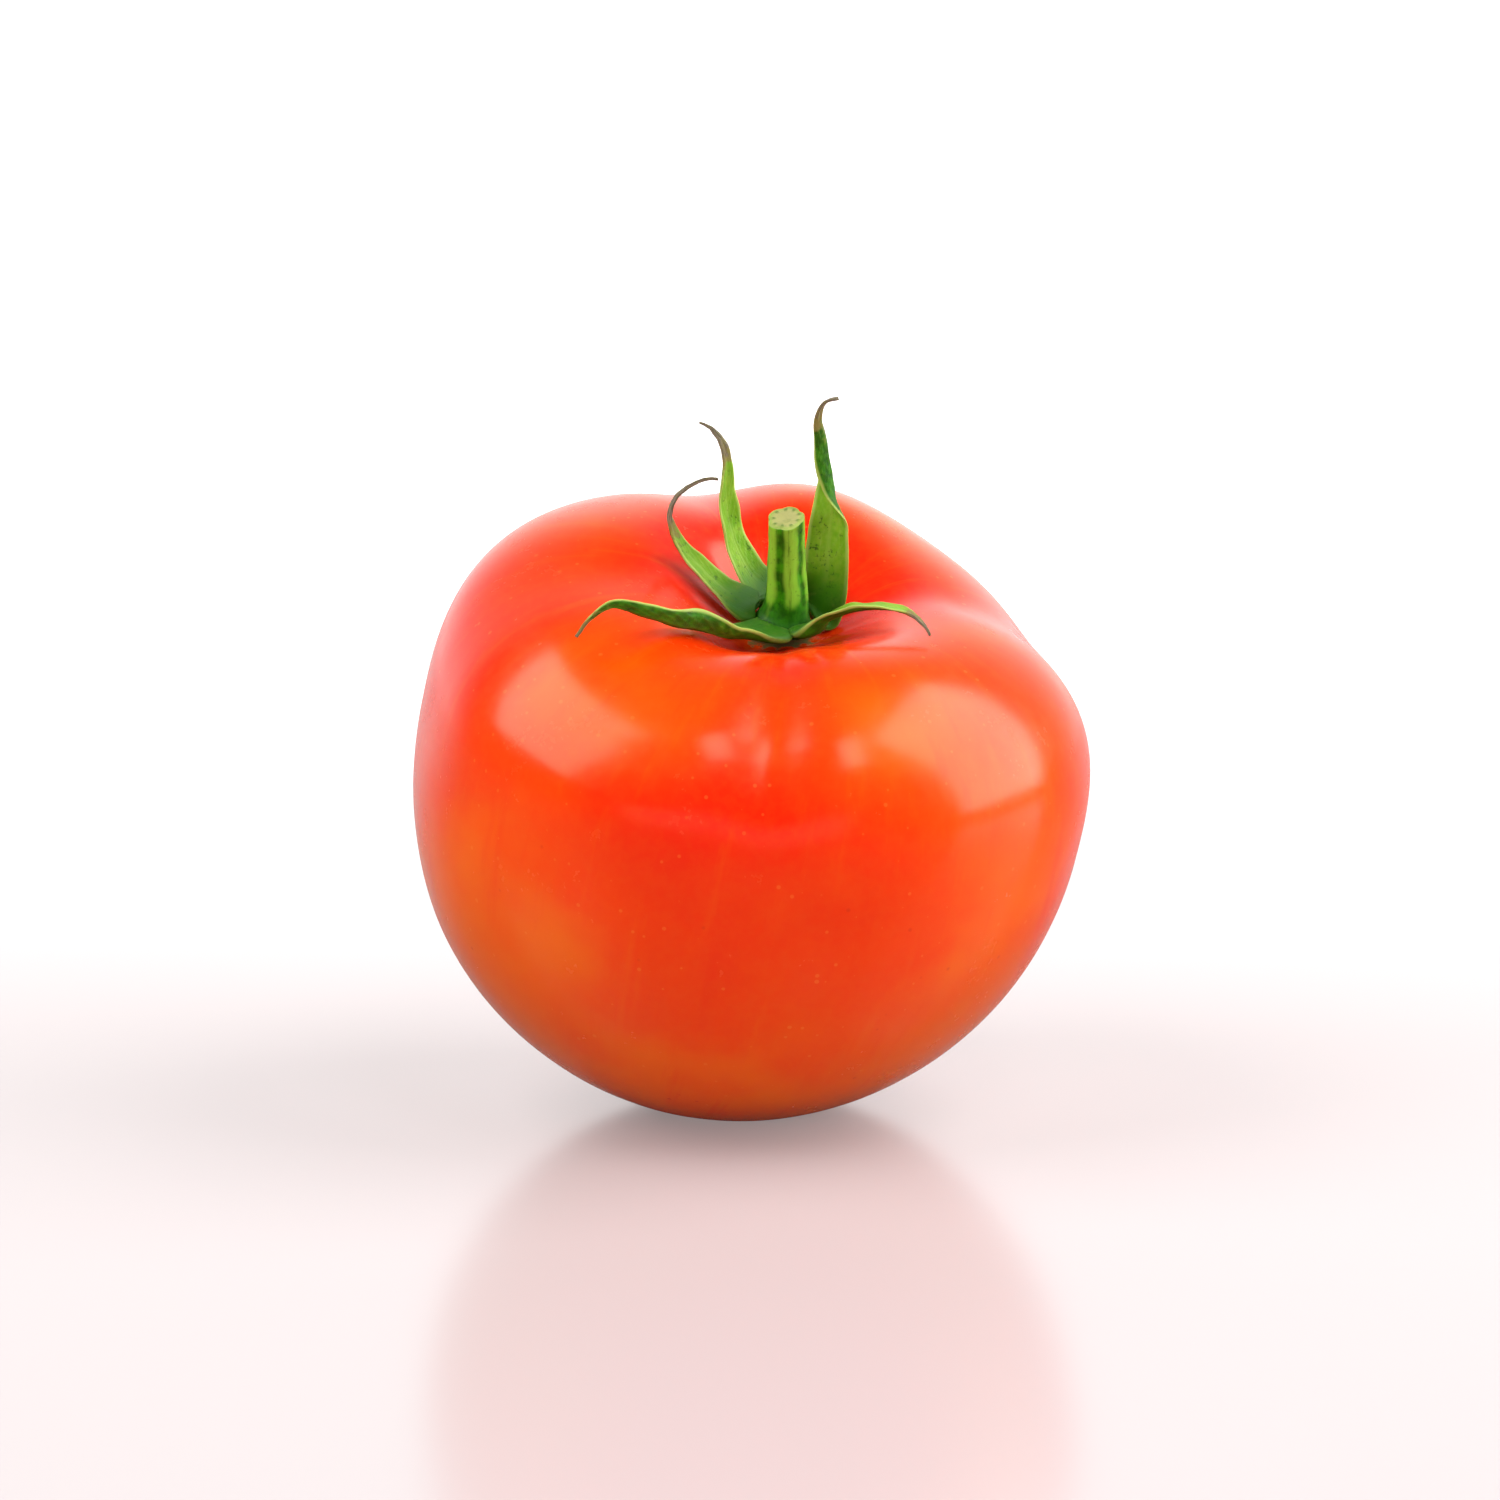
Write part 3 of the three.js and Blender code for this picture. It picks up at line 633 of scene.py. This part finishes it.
LEAF_OUTER = (0.030, 0.17, 0.002, 1)
LEAF_OUTER_DEEP = (0.009, 0.075, 0.001, 1)
LEAF_INNER = (0.095, 0.29, 0.004, 1)
LEAF_INNER_PALE = (0.20, 0.37, 0.02, 1)
LEAF_VEIN = (0.27, 0.40, 0.06, 1)
LEAF_MARGIN_AND_RIM_LIGHT = (0.36, 0.47, 0.10, 1)
LEAF_SPECK = (0.012, 0.042, 0.005, 1)
DRY_OLIVE = (0.20, 0.17, 0.045, 1)
DRY_BROWN = (0.085, 0.058, 0.028, 1)
DRY_GREY = (0.24, 0.21, 0.15, 1)

LEAF_ROUGHNESS, DRY_ROUGHNESS = 0.45, 0.25
LEAF_BUMP, VEIN_HEIGHT = 0.8, 0.8
SPECK_SHOWS = 0.75

leaf, tree, shader = new_material("green_sepal")
surface = add_plant_surface(tree, mark(tree, "grain_place", vector=True))
mottle, fibres = surface["Mottle"], surface["Fibres"]
along = mark(tree, "along")
inner = between(tree, mark(tree, "inner"), -0.25, 0.25)
vein = mark(tree, "vein")
patchy = between(tree, mottle, 0.35, 0.68)
outer_colour = blend(tree, patchy, LEAF_OUTER_DEEP, LEAF_OUTER)
inner_colour = blend(tree, patchy, LEAF_INNER, LEAF_INNER_PALE)
colour = blend(tree, inner, outer_colour, inner_colour)
tinted = times(tree, times(tree, mark(tree, "tint"), inner), 0.5)
colour = blend(tree, tinted, colour, LEAF_INNER_PALE)
vein_shows = plus(tree, times(tree, inner, 0.42), 0.16)
colour = blend(tree, times(tree, vein, vein_shows), colour, LEAF_VEIN)
fibre_shows = times(tree, between(tree, fibres, 0.52, 0.8), vein_shows)
colour = blend(tree, fibre_shows, colour, LEAF_VEIN)
colour = blend(tree, times(tree, surface["Specks"], SPECK_SHOWS), colour, LEAF_SPECK)
# Pale margins: partly the paler edge of the blade and partly painted rim light along the edges.
margin = between(tree, maths(tree, "ABSOLUTE", mark(tree, "across")), 0.8, 0.95)
margin = times(tree, margin, between(tree, along, 0.04, 0.2, 0.25, 0.85))
colour = blend(tree, margin, colour, LEAF_MARGIN_AND_RIM_LIGHT)
# Painted shade: the inner face darkens at the foot, in the hollow round the stem.
foot_shade = times(tree, between(tree, along, 0.3, 0.08, 0.0, 0.9), inner)
colour = blend(tree, foot_shade, colour, LEAF_OUTER_DEEP)
dryness = plus(tree, mark(tree, "dry"), between(tree, mottle, 0.3, 0.7, -0.3, 0.17))
dry_colour = blend(tree, between(tree, fibres, 0.4, 0.62), DRY_BROWN, DRY_GREY)
colour = blend(tree, between(tree, dryness, 0.1, 0.45), colour, DRY_OLIVE)
colour = blend(tree, between(tree, dryness, 0.45, 0.85), colour, dry_colour)
tree.links.new(colour, shader.inputs["Base Color"])
rough = plus(tree, LEAF_ROUGHNESS, between(tree, mottle, 0.3, 0.7, 0.0, 0.15))
rough = plus(tree, rough, between(tree, dryness, 0.2, 0.9, 0.0, DRY_ROUGHNESS))
tree.links.new(rough, shader.inputs["Roughness"])
height = plus(tree, surface["Height"], times(tree, vein, VEIN_HEIGHT))
bump_inputs = {"Height": height, "Strength": LEAF_BUMP, "Distance": PLANT_BUMP_DISTANCE}
bump = add(tree, "ShaderNodeBump", bump_inputs)
tree.links.new(bump.outputs["Normal"], shader.inputs["Normal"])
shader.inputs["Subsurface Weight"].default_value = 0.15
shader.inputs["Subsurface Radius"].default_value = (0.5, 0.8, 0.12)
shader.inputs["Subsurface Scale"].default_value = 0.8 * MM
shader.inputs["Specular IOR Level"].default_value = PLANT_GLOSS


def eased(values, u):
    """A value from a short list at even steps of u from 0 to 1."""
    place = u * (len(values) - 1)
    low = np.minimum(np.floor(place).astype(int), len(values) - 2)
    share = smooth(place - low, 0, 1)
    values = np.asarray(values, float)
    return values[low] * (1 - share) + values[low + 1] * share


for number, (name, azimuth, width, taper, spread, dry_from, tint, route, curl, twist) in enumerate(SEPALS):
    seed = 40 * (number + 1)
    foot_radius = RECEPTACLE_RADIUS + CLEARANCE * 0.5
    angle = math.radians(azimuth)
    foot = np.array([CALYX_OFFSET + foot_radius * math.cos(angle), foot_radius * math.sin(angle)])
    start = [(0, 0, SEPAL_FOOT_HEIGHT), (0.9 * math.cos(angle), 0.9 * math.sin(angle), SEPAL_FOOT_HEIGHT)]
    stops = []
    for right, behind, height in start + list(route):
        x, y = foot[0] + right, foot[1] + behind
        stops.append((x, y, skin_height(x, y) + height))
    middle, side, face, ahead = path_through(stops, SEPAL_RINGS)
    u = np.linspace(0, 1, SEPAL_RINGS)
    # Across the blade: the upper skin from one margin to the other, then the lower one back.
    across = np.sin(np.linspace(-math.pi / 2, math.pi / 2, SEPAL_COLUMNS))
    a = np.concatenate([across, across[-2:0:-1]])
    level = np.concatenate([np.ones(SEPAL_COLUMNS), -np.ones(SEPAL_COLUMNS - 2)])
    uu, aa = np.meshgrid(u, a, indexing="ij")
    bb = np.broadcast_to(level, uu.shape) * np.sqrt(1 - np.abs(aa) ** 3.5)
    past_foot = smooth(uu, 0, SEPAL_FOOT_SHARE)
    foot_angle = np.radians(np.where(aa < 0, spread[1], spread[0]) - SEPAL_GAP_ANGLE) * aa
    wave_place = np.stack([7 * uu, 0.7 * np.sign(aa), seed + 0 * uu], -1)
    wavy = 1 + 0.05 * roughly(wave_place, 1.0).reshape(uu.shape)
    blade_half = np.maximum(width * (1 - uu ** taper) * wavy, 0.45 - 0.25 * uu) / 2
    blade_thickness = SEPAL_BLADE_THICKNESS * (1 - 0.45 * uu)
    thick = (SEPAL_FOOT_THICKNESS * (1 - past_foot) + blade_thickness * past_foot) / 2
    length = np.linalg.norm(np.diff(middle, axis=0), axis=1).sum()
    flare = 1 + SEPAL_FOOT_FLARE * smooth(uu * length, 0, SEPAL_WEB)
    half = foot_radius * np.sin(math.radians(spread[0])) * flare * (1 - past_foot) + blade_half * past_foot
    roll = np.clip(np.radians(eased(curl, uu)), 0.01, half / (2.4 * thick))
    midrib = np.exp(-((aa / 0.13) ** 2)) * smooth(uu, 0.05, 0.25) * (1 - 0.6 * uu)
    slant = 15 * uu - 2.6 * np.abs(aa) + 0.35 * np.sign(aa)
    nerve = np.exp(-(((slant % 1 - 0.5) / 0.16) ** 2))
    nerve = nerve * smooth(np.abs(aa), 0.95, 0.6) * smooth(uu, 0.1, 0.3)
    rib_rise = np.where(bb < 0, SEPAL_RIB_RISE, SEPAL_GROOVE_RISE)
    skin_lift = -rib_rise * midrib - SEPAL_NERVE_RISE * nerve
    bend = half / roll - (thick * bb + skin_lift)
    s = bend * np.sin(roll * aa)
    f = half / roll - bend * np.cos(roll * aa)
    wave = np.sin(uu * 17 + 2.0 * np.sign(aa) + seed) + 0.6 * np.sin(uu * 31 - np.sign(aa) + 2 * seed)
    wave = wave * smooth(uu, 0.2, 0.45) * smooth(blade_half, 0.2, 1.4)
    f = f + SEPAL_MARGIN_WAVE * wave * np.abs(aa) ** 2.5
    turn = np.radians(eased(twist, uu))
    s, f = s * np.cos(turn) - f * np.sin(turn), s * np.sin(turn) + f * np.cos(turn)
    # At the foot the section follows the receptacle's round side.
    hug_s = foot_radius * np.sin(foot_angle) * flare
    s = hug_s * (1 - past_foot) + s * past_foot
    forward = -foot_radius * (1 - np.cos(foot_angle)) * (1 - past_foot)
    own = (middle[:, None] + side[:, None] * s[..., None] + face[:, None] * f[..., None]
           + ahead[:, None] * forward[..., None]).reshape(-1, 3)
    dry = smooth(uu, dry_from - 0.08, min(dry_from + 0.2, 1.05)).ravel()
    shrivel = np.stack([roughly(own + seed + k * 50, SHRIVEL_SIZE) for k in range(3)], -1)
    soften = np.stack([roughly(own + seed + k * 70, SOFT_SIZE) for k in range(3)], -1)
    soft_share = SOFTNESS * smooth(uu, 0.15, 0.4).ravel()
    own = own + shrivel * (SHRIVEL + DRY_SHRIVEL * dry)[:, None] + soften * soft_share[:, None]
    columns = len(a)
    faces = tube_faces(SEPAL_RINGS, columns)
    for first, order in ((0, -1), ((SEPAL_RINGS - 1) * columns, 1)):
        for k in range(SEPAL_COLUMNS - 1):
            corners = [k, k + 1, (columns - k - 1) % columns, (columns - k) % columns]
            corners = list(dict.fromkeys(corners))
            faces.append(tuple(first + c for c in corners[::order]))
    marks = {"along": uu.ravel(), "across": aa.ravel(), "inner": bb.ravel(), "dry": dry,
             "vein": np.maximum(midrib, 0.55 * nerve).ravel(), "tint": np.full(uu.size, tint),
             "grain_place": np.stack([7 * aa, 2 * level + 0 * aa, 4 * uu + seed], -1).reshape(-1, 3)}
    sepal = make_piece("sepal_blade_" + name, on_floor(own), faces, marks, leaf)
    stand_in(sepal, "sepal_" + name)

# ---------------------------------------------------------------- floor
# A large sheet of smooth white acrylic that the fruit stands on, clear from
# underneath so that the fruit's resting side can be seen. It isn't part of the
# tomato.
FLOOR_HALF = 3.0
FLOOR_GAP = 0.02 * MM
ACRYLIC = (0.34, 0.30, 0.30, 1)
ACRYLIC_MIRRORED = (0.16, 0.12, 0.12, 1)

GLOW_NEAR, GLOW_FAR = 0.22, 1.0
GLOW_UNSEEN = 0.12

floor_material, tree, shader = new_material("white_acrylic")
place = add(tree, "ShaderNodeTexCoord").outputs["Object"]
shader.inputs["Roughness"].default_value = 0.18
shader.inputs["Specular IOR Level"].default_value = 0.4
light_path = add(tree, "ShaderNodeLightPath").outputs
mirrored = light_path["Is Glossy Ray"]
tree.links.new(blend(tree, mirrored, ACRYLIC, ACRYLIC_MIRRORED), shader.inputs["Base Color"])
# Painted light: the sheet glows, faintly by the fruit and up to full white towards the back, and mostly
# where the camera sees it.
behind = add(tree, "ShaderNodeSeparateXYZ", {"Vector": place}).outputs["Y"]
glow = plus(tree, between(tree, behind, 0.02, 0.5, 0.0, GLOW_FAR), GLOW_NEAR)
glow = times(tree, glow, maths(tree, "MAXIMUM", light_path["Is Camera Ray"], GLOW_UNSEEN))
tree.links.new(glow, shader.inputs["Emission Strength"])
shader.inputs["Emission Color"].default_value = (1, 0.92, 0.92, 1)
clear = add(tree, "ShaderNodeBsdfTransparent").outputs[0]
from_below = add(tree, "ShaderNodeNewGeometry").outputs["Backfacing"]
shown = add(tree, "ShaderNodeMixShader", {0: from_below, 1: shader.outputs[0], 2: clear}).outputs[0]
tree.links.new(shown, tree.nodes["Material Output"].inputs["Surface"])
mesh = bpy.data.meshes.new("floor")
turns = ((-1, -1), (1, -1), (1, 1), (-1, 1))
corners = [(x * FLOOR_HALF, y * FLOOR_HALF, -FLOOR_GAP) for x, y in turns]
mesh.from_pydata(corners, [], [(0, 1, 2, 3)])
mesh.materials.append(floor_material)
floor = bpy.data.objects.new("floor", mesh)
bpy.context.scene.collection.objects.link(floor)

# ---------------------------------------------------------------- light
# Two big soft boxes at the sides, a small one overhead and a low fill that isn't
# mirrored, in a white room that is dark on the camera's side, so that the skin
# shows its red in the middle.
ROOM_BEHIND = 1.35
ROOM_BEFORE = 0.12
ROOM_SEEN = 1.1
# Name, azimuth (0 the camera's side, 90 right), elevation, distance, size, watts.
SOFT_BOXES = [
    ("left_box", -75, 46, 0.75, (0.6, 0.62), 6.3),
    ("right_box", 86, 34, 0.75, (0.66, 0.94), 11.8),
    ("top_box", 22, 55, 0.8, (0.18, 0.26), 0.85),
    ("fill_box", -6, 0, 1.0, (0.9, 0.5), 10.8),
]
UNREFLECTED = "fill_box"

for name, azimuth, elevation, away, (wide, tall), watts in SOFT_BOXES:
    a, e = math.radians(azimuth), math.radians(elevation)
    towards = Vector((math.sin(a) * math.cos(e), -math.cos(a) * math.cos(e), math.sin(e)))
    lamp = bpy.data.lights.new(name, "AREA")
    lamp.shape = "RECTANGLE"
    lamp.size, lamp.size_y = wide, tall
    lamp.energy = watts
    box = bpy.data.objects.new(name, lamp)
    box.location = CAMERA_AIM + towards * away
    box.rotation_euler = towards.to_track_quat("Z", "Y").to_euler()
    box.visible_glossy = name != UNREFLECTED
    bpy.context.scene.collection.objects.link(box)

world = bpy.data.worlds.new("white_room")
world.use_nodes = True
tree = world.node_tree
backdrop = tree.nodes["Background"]
direction = add(tree, "ShaderNodeTexCoord").outputs["Generated"]
depth = add(tree, "ShaderNodeSeparateXYZ", {"Vector": direction}).outputs["Y"]
shade = between(tree, depth, 0.42, 0.94, ROOM_BEFORE, ROOM_BEHIND)
seen = add(tree, "ShaderNodeLightPath").outputs["Is Camera Ray"]
strength = add(tree, "ShaderNodeMix", {0: seen, 2: shade, 3: ROOM_SEEN}, data_type="FLOAT").outputs[0]
tree.links.new(strength, backdrop.inputs["Strength"])
backdrop.inputs["Color"].default_value = (1, 0.985, 0.985, 1)
bpy.context.scene.world = world
